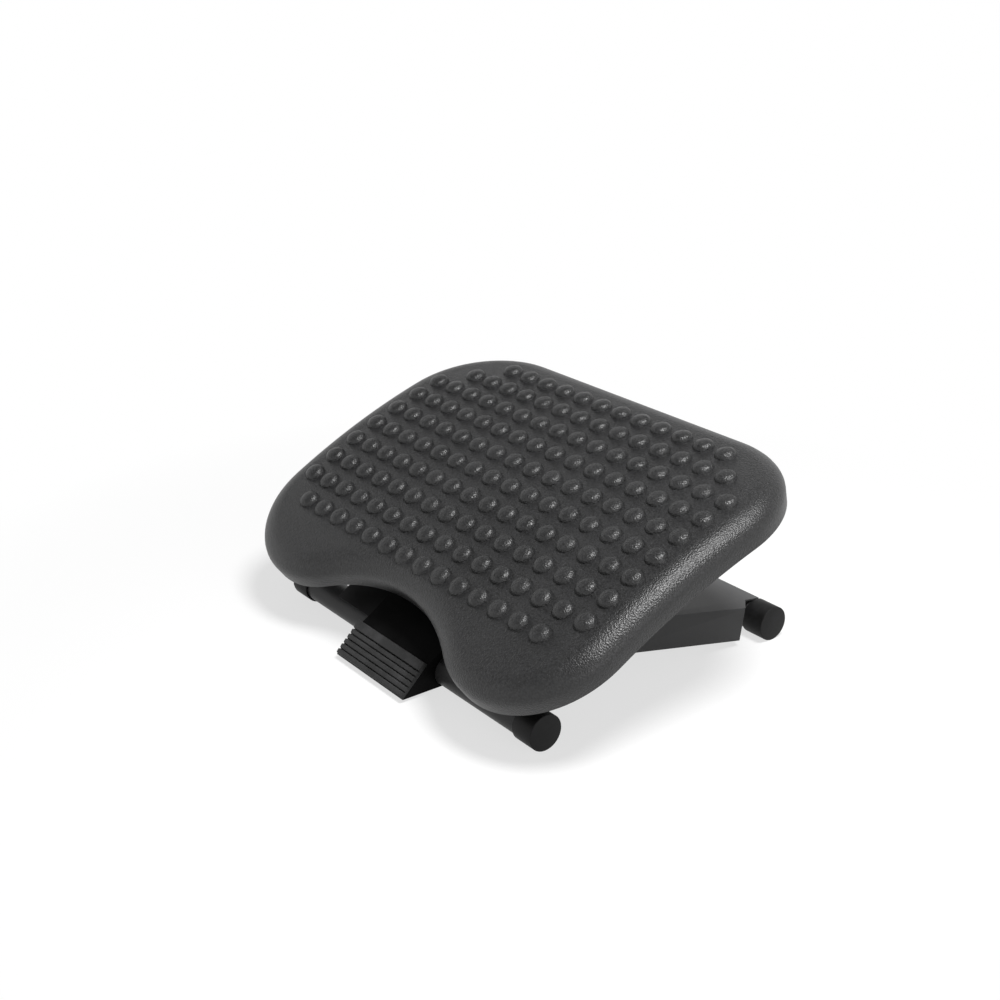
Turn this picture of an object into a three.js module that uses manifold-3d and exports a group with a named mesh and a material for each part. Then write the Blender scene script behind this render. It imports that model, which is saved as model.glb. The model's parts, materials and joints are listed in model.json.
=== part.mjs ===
// A tilting footrest for use under a desk: a moulded platform on two hinged steel legs,
// with a foot pedal that frees the height latch.
// Millimetres and degrees, +Z up, +Y towards the toe end, +X to the right of a seated user.
// The origin lies on the floor below the middle of the overall depth.

import * as THREE from 'three';
import { mergeVertices } from 'three/addons/utils/BufferGeometryUtils.js';
import Module from 'manifold-3d';

const wasm = await Module();
wasm.setup();

// Fits
const seatGap = 0.3;
const runningGap = 0.3;
const cutOverrun = 2;

// Foot tubes and their end caps
const tubeRadius = 13.7;
const tubeWall = 1.5;
const tubeSides = 24;
const capWall = 1.5;
const capLength = 22.5;
const capEndWall = 3;
const capEdgeRound = 1;
const frontBarHalfLength = 174;

// The side view: two feet and the height hinge make a triangle
const frontFootY = -117.6;
const footSpread = 270.6;
const frontLink = 60.2;
const rearLink = 223.6;
const armLength = 148;
const heightSteps = 2;
const heightStepAngle = 10;

// Sheet steel legs
const sheet = 1.5;
const legDepth = 30;
const wallStart = 29.5;
const armHalfWidth = 117.5;
const armTopHalfWidth = 62;
const armTaperStart = 74;
const armTaperEnd = 132;
const armEndReach = 14;
const earWindowReach = 34;
const pedalWindowHalfWidth = 51;
const pedalWindowReach = 21;
const legFlare = 18.6;
const legTaperEnd = 170;
const legOpening = 78;
const stripInset = 14.5;
const stripCapGap = 0.5;
const stripRelief = 15;
const stripOverhang = 2.5;

// Height axle, its bushes, nuts and notched plates
const axleRadius = 4;
const axleWasher = 1;
const axleWasherRadius = 9;
const bushWall = 1.4;
const nutRadius = 7.5;
const nutThickness = 5;
const plateThickness = 3;
const plateBossRadius = 12;
const plateReach = 52;
const plateTailHeight = 16;
const rivetRadius = 2;
const rivetHeadRadius = 3.6;
const rivetHeadHeight = 1.4;
const rivetPitch = 24;
const rivetSetback = 20;

// Latch
const lockBarRadius = 2;
const lockBarAlong = 30;
const lockBarAbove = 10.5;
const lockTravel = 2.1;
const lockSlack = 0.35;
const lockOverhang = 1.2;
const springWire = 0.6;
const springRadius = 2.9;
const springTurns = 7;
const springInset = 35.5;

// Pedal
const pedalHalfWidth = 48.5;
const pedalFaceAngle = 44;
const pedalFaceLength = 39.2;
const pedalTopForward = 24.2;
const pedalTopAbove = 14.7;
const pedalPanelHeight = 20.1;
const pedalPanelRear = 30;
const pedalPanelFront = -0.7;
const pedalPanelWall = 2.2;
const pedalPlate = 3;
const pedalRib = 2.5;
const pedalRibStation = 17;
const saddleWall = 3.5;
const saddleRearAngle = -45;
const springBay = 7;
const treadThickness = 5;
const treadBase = 1.8;
const treadRibs = 8;
const fingerStation = 31;
const fingerThickness = 5;
const pushAngle = 120;
const torsionWire = 0.5;
const torsionTurns = 3.5;
const torsionPitch = 2.2;
const torsionLeg = 7;

// Platform moulding
const platformTilt = 22.1;
const platformHalfWidth = 225;
const platformRearEdge = 149.5;
const rearCornerRadius = 94;
const heelCornerHalfWidth = 222;
const heelCornerReach = 253;
const heelLobeRadius = 85;
const notchCornerReach = 106.5;
const notchRadius = 163;
const archRadius = 697;
const rimRadius = 15;
const rimDepth = 25.5;
const shellWall = 3.5;
const ribDepth = 12;
const ribWall = 2.4;
const ribPitch = 76.2;
const bumpPitch = 25.4;
const bumpMargin = 20;
const bumpRowInsets = [1, 0, 0, 0, 0, 0, 0, 0, 1, 2];
const bumpRadius = 9.1;
const bumpHeight = 4.9;
const outlineSteps = 72;
const rimSteps = 4;

// Tilt joint
const pivotDepth = 51.5;
const bracketSheet = 2;
const bracketLength = 62;
const earEndRadius = 12;
const boltRadius = 5;
const boltHeadRadius = 9;
const boltHeadHeight = 5;
const tiltBushWall = 1.8;
const tiltFlange = 0.9;
const tiltFlangeRadius = 11;
const screwSpacingX = 84;
const screwSpacingY = 40;
const screwRadius = 2;
const screwLength = 10;
const screwHeadRadius = 4;
const screwHeadHeight = 2.6;
const bossRadius = 5.5;

const radians = THREE.MathUtils.degToRad;
const footRadius = tubeRadius + seatGap + capWall;
const axisHeight = footRadius * Math.cos(Math.PI / tubeSides);

const frontCosine = (footSpread ** 2 + frontLink ** 2 - rearLink ** 2) / (2 * footSpread * frontLink);
const frontAngle = Math.acos(frontCosine);
const rearAngle = Math.asin((frontLink / rearLink) * Math.sin(frontAngle));
const rearFootY = frontFootY + footSpread;

const sheetTop = tubeRadius + seatGap + sheet;
const sheetUnder = sheetTop - sheet;
const legBottom = sheetTop - legDepth;

const plateInner = armHalfWidth + runningGap + axleWasher + runningGap;
const plateOuter = plateInner + plateThickness;
const forkInner = plateOuter + seatGap;
const forkHalfWidth = forkInner + sheet;
const legHalfWidth = forkHalfWidth + legFlare;
const stripHalfWidth = legHalfWidth - stripInset;
const rearBarHalfLength = stripHalfWidth + stripCapGap + capLength;

const lockRadius = Math.hypot(frontLink - lockBarAlong, lockBarAbove);
const lockAngle = Math.atan2(lockBarAbove, lockBarAlong - frontLink);

const bracketTop = -(shellWall + ribDepth + seatGap);
const bracketHalfWidth = armTopHalfWidth - sheet - runningGap - tiltFlange - runningGap;

const black = { color: 0x2b2b2c, roughness: 0.62, metalness: 0 };
const paint = { color: 0x4a4a4b, roughness: 0.5, metalness: 0.25 };
const rubber = { color: 0x1e1e1f, roughness: 0.75, metalness: 0 };
const zinc = { color: 0xa8abad, roughness: 0.38, metalness: 0.9 };
const nylon = { color: 0x8f8f8a, roughness: 0.55, metalness: 0 };
const springSteel = { color: 0x84878a, roughness: 0.35, metalness: 0.9 };

const object = new THREE.Group();
const frontFrame = new THREE.Group();
frontFrame.position.set(0, frontFootY, axisHeight);
frontFrame.rotation.x = frontAngle;
const rearFrame = new THREE.Group();
rearFrame.position.set(0, rearFootY, axisHeight);
rearFrame.rotation.x = -rearAngle;
const platformFrame = new THREE.Group();
platformFrame.position.set(
  0,
  frontFootY + armLength * Math.cos(frontAngle),
  axisHeight + armLength * Math.sin(frontAngle),
);
platformFrame.rotation.x = radians(platformTilt);
object.add(frontFrame, rearFrame, platformFrame);

// Turns any closed three.js geometry into a solid whose faces point out
function solid(geometry) {
  const bare = geometry.clone();
  bare.deleteAttribute('normal');
  bare.deleteAttribute('uv');
  const merged = mergeVertices(bare, 1e-4);
  const vertProperties = new Float32Array(merged.attributes.position.array);
  const corners = merged.index.array;
  const kept = [];
  let volume = 0;
  const a = new THREE.Vector3();
  const b = new THREE.Vector3();
  const c = new THREE.Vector3();
  for (let i = 0; i < corners.length; i += 3) {
    const [p, q, r] = [corners[i], corners[i + 1], corners[i + 2]];
    if (p === q || q === r || r === p) continue;
    kept.push(p, q, r);
    a.fromArray(vertProperties, 3 * p);
    b.fromArray(vertProperties, 3 * q);
    c.fromArray(vertProperties, 3 * r);
    volume += a.dot(b.cross(c));
  }
  if (volume < 0) kept.reverse();
  const triVerts = Uint32Array.from(kept);
  return new wasm.Manifold(new wasm.Mesh({ numProp: 3, vertProperties, triVerts }));
}

function addPart(group, name, shape, finish) {
  const mesh = shape.getMesh();
  const geometry = new THREE.BufferGeometry();
  geometry.setAttribute('position', new THREE.BufferAttribute(mesh.vertProperties, 3));
  geometry.setIndex(new THREE.BufferAttribute(mesh.triVerts, 1));
  geometry.computeVertexNormals();
  const part = new THREE.Mesh(geometry, new THREE.MeshStandardMaterial(finish));
  part.name = name;
  group.add(part);
  return part;
}

// Extrudes a side view, whose points are [y, z], along X
function alongX(outline, fromX, toX) {
  const points = Array.isArray(outline) ? outline.map(([y, z]) => new THREE.Vector2(y, z)) : null;
  const shape = points ? new THREE.Shape(points) : outline;
  const geometry = new THREE.ExtrudeGeometry(shape, {
    depth: toX - fromX,
    bevelEnabled: false,
    curveSegments: 12,
  });
  const turn = new THREE.Matrix4().makeBasis(
    new THREE.Vector3(0, 1, 0),
    new THREE.Vector3(0, 0, 1),
    new THREE.Vector3(1, 0, 0),
  );
  return geometry.applyMatrix4(turn).translate(fromX, 0, 0);
}

// Extrudes a plan, whose points are [x, y], upwards
function upwards(points, fromZ, toZ) {
  const shape = new THREE.Shape(points.map(([x, y]) => new THREE.Vector2(x, y)));
  return new THREE.ExtrudeGeometry(shape, { depth: toZ - fromZ, bevelEnabled: false }).translate(0, 0, fromZ);
}

function box(fromX, toX, fromY, toY, fromZ, toZ) {
  return new THREE.BoxGeometry(toX - fromX, toY - fromY, toZ - fromZ).translate(
    (fromX + toX) / 2,
    (fromY + toY) / 2,
    (fromZ + toZ) / 2,
  );
}

// Revolves [radius, x] points about the X axis, with flats facing along Y and Z
function turned(profile, sides = tubeSides) {
  const points = profile.map(([radius, x]) => new THREE.Vector2(radius, x));
  const lathe = new THREE.LatheGeometry(points, sides, Math.PI / sides, 2 * Math.PI);
  return lathe.rotateZ(-Math.PI / 2);
}

function rod(radius, fromX, toX, y = 0, z = 0, sides = 16) {
  return turned([[0, fromX], [radius, fromX], [radius, toX], [0, toX]], sides).translate(0, y, z);
}

function ring(inner, outer, fromX, toX, sides = 16) {
  return turned([[inner, fromX], [outer, fromX], [outer, toX], [inner, toX], [inner, fromX]], sides);
}

function polar(radius, angle, y = 0, z = 0) {
  return [y + radius * Math.cos(angle), z + radius * Math.sin(angle)];
}

// A slice of a disc
function wedge(radius, from, to, y = 0, z = 0) {
  const pieces = 16;
  const points = [[y, z]];
  for (let i = 0; i <= pieces; i += 1) points.push(polar(radius, from + ((to - from) * i) / pieces, y, z));
  return points;
}

// Foot tubes with rubber caps
function footTube(halfLength) {
  const end = halfLength - capEndWall - seatGap;
  return solid(ring(tubeRadius - tubeWall, tubeRadius, -end, end, tubeSides));
}

function footCap(halfLength, side) {
  const inner = halfLength - capLength;
  const profile = [
    [0, halfLength],
    [footRadius - capEdgeRound, halfLength],
    [footRadius, halfLength - capEdgeRound],
    [footRadius, inner],
    [tubeRadius + seatGap, inner],
    [tubeRadius + seatGap, halfLength - capEndWall],
    [0, halfLength - capEndWall],
  ];
  return solid(turned(profile.map(([radius, x]) => [radius, side * x])));
}

// A pressed leg: a top sheet with two side walls, open below
function pressedLeg(plan, innerPlan) {
  const outer = solid(upwards(plan, legBottom, sheetTop));
  const inner = solid(upwards(innerPlan, legBottom - cutOverrun, sheetUnder));
  return outer.subtract(inner);
}

function mirroredPlan(side) {
  const left = side.map(([x, y]) => [-x, y]).reverse();
  return [...side, ...left];
}

function capsule(radius, [y1, z1], [y2, z2]) {
  const angle = Math.atan2(z2 - z1, y2 - y1);
  const shape = new THREE.Shape();
  shape.absarc(y2, z2, radius, angle - Math.PI / 2, angle + Math.PI / 2, false);
  shape.absarc(y1, z1, radius, angle + Math.PI / 2, angle + 1.5 * Math.PI, false);
  shape.closePath();
  return shape;
}

function frontArm() {
  const end = armLength + armEndReach;
  const side = [
    [armHalfWidth, -stripOverhang],
    [armHalfWidth, armTaperStart],
    [armTopHalfWidth, armTaperEnd],
    [armTopHalfWidth, end],
  ];
  const innerSide = [
    [armHalfWidth - sheet, -stripOverhang - cutOverrun],
    [armHalfWidth - sheet, armTaperStart - sheet / 2],
    [armTopHalfWidth - sheet, armTaperEnd - sheet / 2],
    [armTopHalfWidth - sheet, end + cutOverrun],
  ];
  let arm = pressedLeg(mirroredPlan(side), mirroredPlan(innerSide));
  const beyond = armHalfWidth + cutOverrun;
  const below = legBottom - cutOverrun;
  const wallNotch = box(-beyond, beyond, -stripOverhang - cutOverrun, wallStart, below, sheetUnder);
  const corner = wallStart - stripRelief;
  for (const hand of [-1, 1]) {
    const relief = [
      [hand * beyond, wallStart],
      [hand * armHalfWidth, wallStart],
      [hand * (armHalfWidth - stripRelief), corner],
      [hand * (armHalfWidth - stripRelief), -stripOverhang - cutOverrun],
      [hand * beyond, -stripOverhang - cutOverrun],
    ];
    arm = arm.subtract(solid(upwards(relief, legBottom, sheetTop + cutOverrun)));
  }
  const window = box(
    -pedalWindowHalfWidth,
    pedalWindowHalfWidth,
    -stripOverhang - cutOverrun,
    pedalWindowReach,
    legBottom,
    sheetTop + cutOverrun,
  );
  const earWindow = box(
    sheet - armTopHalfWidth,
    armTopHalfWidth - sheet,
    armLength - earWindowReach,
    end + cutOverrun,
    0,
    sheetTop + cutOverrun,
  );
  const seated = polar(-lockBarRadius, lockAngle, lockBarAlong, lockBarAbove);
  const freed = polar(lockTravel, lockAngle, lockBarAlong, lockBarAbove);
  return arm
    .subtract(solid(wallNotch))
    .subtract(solid(window))
    .subtract(solid(earWindow))
    .subtract(solid(rod(axleRadius + runningGap, -beyond, beyond, frontLink)))
    .subtract(solid(rod(boltRadius + runningGap, -beyond, beyond, armLength)))
    .subtract(solid(alongX(capsule(lockBarRadius + lockSlack, seated, freed), -beyond, beyond)));
}

function rearLeg() {
  const side = [
    [forkHalfWidth, -rearLink - sheetTop],
    [forkHalfWidth, -legTaperEnd],
    [legHalfWidth, -wallStart],
    [legHalfWidth, stripOverhang],
  ];
  const innerSide = [
    [forkInner, -rearLink - sheetTop - cutOverrun],
    [forkInner, -legTaperEnd],
    [legHalfWidth - sheet, -wallStart],
    [legHalfWidth - sheet, stripOverhang + cutOverrun],
  ];
  let leg = pressedLeg(mirroredPlan(side), mirroredPlan(innerSide));
  const beyond = legHalfWidth + cutOverrun;
  for (const hand of [-1, 1]) {
    const relief = [
      [hand * beyond, -wallStart],
      [hand * legHalfWidth, -wallStart],
      [hand * stripHalfWidth, -wallStart + stripRelief],
      [hand * stripHalfWidth, stripOverhang + cutOverrun],
      [hand * beyond, stripOverhang + cutOverrun],
    ];
    leg = leg.subtract(solid(upwards(relief, legBottom, sheetTop + cutOverrun)));
  }
  const below = legBottom - cutOverrun;
  const above = sheetTop + cutOverrun;
  const wallNotch = box(-beyond, beyond, -wallStart, stripOverhang + cutOverrun, below, sheetUnder);
  const openingStart = -rearLink - sheetTop - cutOverrun;
  const opening = box(-forkInner, forkInner, openingStart, -rearLink + legOpening, 0, above);
  const middle = sheetTop - legDepth / 2;
  const endRound = rod(legDepth / 2, -beyond - cutOverrun, beyond + cutOverrun, -rearLink, middle, 32);
  const endCorners = solid(box(-beyond, beyond, openingStart, -rearLink, below, above)).subtract(
    solid(endRound),
  );
  return leg
    .subtract(solid(wallNotch))
    .subtract(solid(opening))
    .subtract(endCorners)
    .subtract(solid(rod(bushOuter + seatGap, -beyond, beyond, -rearLink)))
    .subtract(rivetHoles());
}

const bushOuter = axleRadius + runningGap + bushWall;

function rivetPlaces() {
  const first = -rearLink + rivetSetback;
  return [first, first + rivetPitch];
}

function rivetHoles() {
  const beyond = legHalfWidth + cutOverrun;
  return rivetPlaces()
    .map((y) => solid(rod(rivetRadius + seatGap, -beyond, beyond, y, 0, 12)))
    .reduce((sum, next) => sum.add(next));
}

// A notched plate in the rear frame, which the lock bar holds
function notchPlate(side) {
  const atRest = lockAngle + frontAngle + rearAngle;
  const rimRadius = lockRadius - lockBarRadius - runningGap;
  const range = radians(heightSteps * heightStepAngle);
  const margin = radians(heightStepAngle * 0.7);
  const from = atRest - range - margin;
  const to = atRest + margin;
  const sector = wedge(rimRadius, from, to, -rearLink);
  const tailTop = plateTailHeight / 2;
  const tail = [
    [-rearLink, -tailTop],
    [-rearLink + plateReach, -tailTop],
    [-rearLink + plateReach, tailTop],
    [-rearLink, tailTop],
  ];
  const [near, far] = [side * plateInner, side * plateOuter].sort((a, b) => a - b);
  let plate = solid(rod(plateBossRadius, near, far, -rearLink, 0, 24))
    .add(solid(alongX(sector, near, far)))
    .add(solid(alongX(tail, near, far)));
  for (let step = 0; step <= heightSteps; step += 1) {
    const angle = atRest - radians(step * heightStepAngle);
    const [y, z] = polar(rimRadius, angle, -rearLink);
    const notch = rod(lockBarRadius + lockSlack, near - cutOverrun, far + cutOverrun, y, z, 16);
    plate = plate.subtract(solid(notch));
  }
  return plate
    .subtract(solid(rod(bushOuter + seatGap, near - cutOverrun, far + cutOverrun, -rearLink)))
    .subtract(rivetHoles());
}

function rivet(side, y) {
  const inner = plateInner - seatGap;
  const outer = forkHalfWidth + seatGap;
  const profile = [
    [0, inner - runningGap],
    [rivetRadius, inner - runningGap],
    [rivetRadius, outer],
    [rivetHeadRadius, outer],
    [rivetHeadRadius * 0.7, outer + rivetHeadHeight],
    [0, outer + rivetHeadHeight],
  ];
  return solid(turned(profile.map(([radius, x]) => [radius, side * x]), 12).translate(0, y, 0));
}

// Height axle and what is on it
function heightAxle() {
  const end = forkHalfWidth + 2 * seatGap + nutThickness + axleRadius / 2;
  const tip = axleRadius / 4;
  const profile = [
    [0, -end],
    [axleRadius - tip, -end],
    [axleRadius, -end + tip],
    [axleRadius, end - tip],
    [axleRadius - tip, end],
    [0, end],
  ];
  return solid(turned(profile, 16).translate(0, frontLink, 0));
}

function sidedRing(inner, outer, nearX, farX, side, sides) {
  const [from, to] = [side * nearX, side * farX].sort((a, b) => a - b);
  return ring(inner, outer, from, to, sides);
}

function heightNut(side) {
  const near = forkHalfWidth + seatGap;
  const nut = solid(sidedRing(0, nutRadius, near, near + nutThickness, side, 6));
  const bore = rod(axleRadius + seatGap, -legHalfWidth * 2, legHalfWidth * 2);
  return nut.subtract(solid(bore)).translate([0, frontLink, 0]);
}

// Latch
function lockBar() {
  const end = plateOuter - seatGap + lockOverhang;
  const tip = lockBarRadius / 4;
  const profile = [
    [0, -end],
    [lockBarRadius - tip, -end],
    [lockBarRadius, -end + tip],
    [lockBarRadius, end - tip],
    [lockBarRadius - tip, end],
    [0, end],
  ];
  return solid(turned(profile, 12).translate(0, lockBarAlong, lockBarAbove));
}

function wireSolid(points, radius, steps) {
  const section = new THREE.Shape(
    Array.from({ length: 5 }, (_, i) => {
      const [x, y] = polar(radius, (2 * Math.PI * i) / 5);
      return new THREE.Vector2(x, y);
    }),
  );
  const path = new THREE.CatmullRomCurve3(points, false, 'centripetal');
  return solid(new THREE.ExtrudeGeometry(section, { steps, extrudePath: path, bevelEnabled: false }));
}

// An extension spring from the lock bar to the height axle, hooked round both
function lockSpring(x) {
  const points = [];
  const lockHook = lockBarRadius + springWire + seatGap;
  const axleHook = axleRadius + springWire + seatGap;
  for (let i = 0; i <= 6; i += 1) {
    const angle = radians(120 + 40 * i);
    points.push(new THREE.Vector3(0, lockHook * Math.cos(angle), lockHook * Math.sin(angle)));
  }
  const coilStart = lockHook + 2 * springWire;
  const coilEnd = lockRadius - axleHook - 2 * springWire;
  const perTurn = 8;
  for (let i = 0; i <= springTurns * perTurn; i += 1) {
    const share = i / (springTurns * perTurn);
    const angle = (2 * Math.PI * i) / perTurn;
    points.push(
      new THREE.Vector3(
        springRadius * Math.cos(angle),
        coilStart + (coilEnd - coilStart) * share,
        springRadius * Math.sin(angle),
      ),
    );
  }
  for (let i = 0; i <= 6; i += 1) {
    const angle = radians(180 - 40 * i);
    points.push(
      new THREE.Vector3(0, lockRadius + axleHook * Math.cos(angle), axleHook * Math.sin(angle)),
    );
  }
  const place = new THREE.Matrix4()
    .makeTranslation(x, lockBarAlong, lockBarAbove)
    .multiply(new THREE.Matrix4().makeRotationX(lockAngle - Math.PI));
  return wireSolid(points.map((point) => point.applyMatrix4(place)), springWire, points.length - 1);
}

// Pedal: a moulded rocker that snaps over the front tube, drawn in the front frame's tilted axes
const faceDown = -Math.PI + radians(pedalFaceAngle) - frontAngle;
const intoFace = faceDown + Math.PI / 2;

function tilted(y, z) {
  return [
    y * Math.cos(frontAngle) + z * Math.sin(frontAngle),
    -y * Math.sin(frontAngle) + z * Math.cos(frontAngle),
  ];
}

const faceTop = tilted(-pedalTopForward, pedalTopAbove);
const pedalBase = pedalTopAbove - pedalFaceLength * Math.sin(radians(pedalFaceAngle));

// The space below the level underside of the pedal
function belowPedal() {
  const deep = footSpread;
  const cutter = box(-deep, deep, -deep, deep, pedalBase - deep, pedalBase);
  return solid(cutter.rotateX(-frontAngle));
}

function pedalBody() {
  const plateTop = polar(treadThickness, intoFace, ...faceTop);
  const plateEnd = polar(pedalFaceLength * 1.4, faceDown, ...plateTop);
  const bearing = tubeRadius + runningGap;
  const saddleOuter = bearing + saddleWall;
  const belowTube = tilted(0, -saddleOuter * 1.5);
  const profile = [
    [pedalPanelRear, pedalPanelHeight],
    [pedalPanelFront, pedalPanelHeight],
    plateTop,
    plateEnd,
    belowTube,
    [0, 0],
    [0, pedalPanelHeight - pedalPanelWall],
    [pedalPanelRear, pedalPanelHeight - pedalPanelWall],
  ];
  const saddle = wedge(saddleOuter, radians(saddleRearAngle), Math.PI);
  const wide = pedalHalfWidth;
  const filler = [
    [saddleOuter * 0.6, 0],
    [saddleOuter, saddleOuter * 0.5],
    [saddleOuter + saddleWall, pedalPanelHeight - pedalPanelWall / 2],
    [0, pedalPanelHeight - pedalPanelWall / 2],
    [0, 0],
  ];
  let body = solid(alongX(profile, -wide, wide))
    .add(solid(alongX(saddle, -wide, wide)))
    .add(solid(alongX(filler, -wide, wide)));
  const innerTop = polar(pedalPlate, intoFace, ...plateTop);
  const innerStart = polar(pedalPlate, faceDown, ...innerTop);
  const innerEnd = polar(pedalFaceLength * 1.4, faceDown, ...innerStart);
  const pocket = [innerStart, innerEnd, belowTube, [0, 0]];
  const walls = [
    [-wide + pedalPlate, -pedalRibStation - pedalRib / 2],
    [-pedalRibStation + pedalRib / 2, pedalRibStation - pedalRib / 2],
    [pedalRibStation + pedalRib / 2, wide - pedalPlate],
  ];
  for (const [from, to] of walls) {
    const hollow = solid(alongX(pocket, from, to)).subtract(
      solid(rod(saddleOuter, from - cutOverrun, to + cutOverrun, 0, 0, tubeSides)),
    );
    body = body.subtract(hollow);
  }
  for (const station of [-fingerStation, fingerStation]) {
    body = body.add(solid(alongX(finger(), station - fingerThickness / 2, station + fingerThickness / 2)));
  }
  const bay = saddleOuter + runningGap;
  return body
    .subtract(solid(rod(bay, -springBay, springBay, 0, 0, tubeSides)))
    .subtract(solid(rod(bearing, -wide - cutOverrun, wide + cutOverrun, 0, 0, tubeSides)))
    .subtract(belowPedal());
}

// The finger that pushes the lock bar out of its notch
function finger() {
  const push = radians(pushAngle);
  const face = polar(-(lockBarRadius + lockSlack), push, lockBarAlong, lockBarAbove);
  const along = push - Math.PI / 2;
  const low = polar(-2 * lockBarRadius, along, ...face);
  const high = polar(1.8 * lockBarRadius, along, ...face);
  const bearing = tubeRadius + runningGap;
  return [
    polar(bearing + saddleWall / 2, radians(22)),
    low,
    high,
    polar(-1.4 * lockBarRadius, push, ...high),
    polar(-4.5 * lockBarRadius, push, ...low),
    polar(bearing + saddleWall / 2, radians(-14)),
  ];
}

function pedalTread() {
  const start = polar(treadThickness - seatGap, intoFace, ...faceTop);
  const length = pedalFaceLength * 1.15;
  const pitch = length / (treadRibs + 1);
  const foot = -treadBase;
  const crest = -(treadThickness - seatGap);
  const section = [[0, 0], [0, crest], [1.55 * pitch, crest]];
  for (let i = 1; i < treadRibs; i += 1) {
    const at = (i + 0.7) * pitch;
    section.push([at, foot - treadBase * 0.25]);
    section.push([at + 0.2 * pitch, crest + treadBase * 0.15]);
    section.push([at + 0.85 * pitch, crest + treadBase * 0.45]);
  }
  section.push([length, crest + treadBase * 0.3]);
  section.push([length, 0]);
  const placed = section.map(([along, into]) => {
    const down = polar(along, faceDown, ...start);
    return polar(into, intoFace, ...down);
  });
  return solid(alongX(placed, -pedalHalfWidth, pedalHalfWidth)).subtract(belowPedal());
}

// Torsion spring round the front tube, with a leg to the pedal and a leg to the arm
function pedalSpring() {
  const radius = tubeRadius + runningGap + torsionWire;
  const width = torsionTurns * torsionPitch;
  const perTurn = 24;
  const startAngle = radians(150);
  const points = [];
  const count = Math.round(torsionTurns * perTurn);
  const spin = (angle, x) => new THREE.Vector3(x, radius * Math.cos(angle), radius * Math.sin(angle));
  const lead = (angle, x, sense) =>
    new THREE.Vector3(
      x,
      radius * Math.cos(angle) - sense * torsionLeg * Math.sin(angle),
      radius * Math.sin(angle) + sense * torsionLeg * Math.cos(angle),
    );
  points.push(lead(startAngle, -width / 2, -1));
  for (let i = 0; i <= count; i += 1) {
    points.push(spin(startAngle + (2 * Math.PI * i) / perTurn, -width / 2 + (width * i) / count));
  }
  const endAngle = startAngle + (2 * Math.PI * count) / perTurn;
  points.push(lead(endAngle, width / 2, 1));
  return wireSolid(points, torsionWire, points.length + 2);
}

// Platform. Its plan is drawn flat, then bent over the arch along Y.
// The outline starts at the middle of the toe edge, so point i mirrors the i-th from the end.
function platformLoop() {
  const corners = [
    [-platformHalfWidth, platformRearEdge, rearCornerRadius],
    [-heelCornerHalfWidth, -heelCornerReach, heelLobeRadius],
    [0, -notchCornerReach, notchRadius],
    [heelCornerHalfWidth, -heelCornerReach, heelLobeRadius],
    [platformHalfWidth, platformRearEdge, rearCornerRadius],
  ];
  const path = new THREE.Path();
  path.moveTo(0, platformRearEdge);
  corners.forEach(([x, y, radius], i) => {
    const corner = new THREE.Vector2(x, y);
    const toward = (other) => new THREE.Vector2(other[0], other[1]).sub(corner).normalize();
    const back = toward(corners.at(i - 1));
    const onward = toward(corners[(i + 1) % corners.length]);
    const half = Math.acos(back.dot(onward)) / 2;
    const middle = back.clone().add(onward).normalize();
    const centre = corner.clone().addScaledVector(middle, radius / Math.sin(half));
    const run = radius / Math.tan(half);
    const start = corner.clone().addScaledVector(back, run);
    const end = corner.clone().addScaledVector(onward, run);
    path.lineTo(start.x, start.y);
    const from = start.sub(centre);
    const to = end.sub(centre);
    path.absarc(centre.x, centre.y, radius, from.angle(), to.angle(), from.cross(to) < 0);
  });
  path.lineTo(0, platformRearEdge);
  return path.getSpacedPoints(outlineSteps).slice(0, -1);
}

function inset(loop, distance) {
  return loop.map((point, i) => {
    const before = loop.at(i - 1);
    const after = loop[(i + 1) % loop.length];
    const along = after.clone().sub(before).normalize();
    return new THREE.Vector2(point.x - along.y * distance, point.y + along.x * distance);
  });
}

function bend(x, y, height) {
  const angle = y / archRadius;
  return new THREE.Vector3(
    x,
    (archRadius + height) * Math.sin(angle),
    (archRadius + height) * Math.cos(angle) - archRadius,
  );
}

const loop = platformLoop();

// Rings of the outer skin, drawn in by an amount, from the top's edge to the rim's lower edge
function skinRings(drawnIn) {
  const rings = [];
  const radius = rimRadius - drawnIn;
  for (let i = 0; i <= rimSteps; i += 1) {
    const angle = (Math.PI / 2) * (i / rimSteps);
    const edge = inset(loop, rimRadius - radius * Math.sin(angle));
    const height = -rimRadius + radius * Math.cos(angle);
    rings.push(edge.map((point) => bend(point.x, point.y, height)));
  }
  rings.push(inset(loop, drawnIn).map((point) => bend(point.x, point.y, -rimDepth)));
  return rings;
}

// Triangles that fill a ring in bands straight across, so that the fill follows the arch
function bandedFill() {
  const edge = inset(loop, rimRadius);
  const count = edge.length;
  const middle = count / 2;
  const mirror = (i) => (count - i) % count;
  const toeEnd = edge.findIndex((point) => point.y < edge[0].y - rimRadius);
  let heelEnd = toeEnd;
  while (edge[heelEnd + 1].y > edge[middle].y) heelEnd += 1;
  const triangles = [];
  const fan = (hub, from, to) => {
    for (let i = from; i < to; i += 1) triangles.push([hub, (i + count) % count, (i + 1 + count) % count]);
  };
  fan(toeEnd, -toeEnd, toeEnd - 1);
  for (let i = toeEnd; i < heelEnd; i += 1) {
    triangles.push([i, i + 1, mirror(i + 1)], [i, mirror(i + 1), mirror(i)]);
  }
  fan(heelEnd, heelEnd + 1, middle);
  fan(mirror(heelEnd), middle, mirror(heelEnd) - 1);
  triangles.push([heelEnd, middle, mirror(heelEnd)]);
  return triangles;
}

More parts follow.
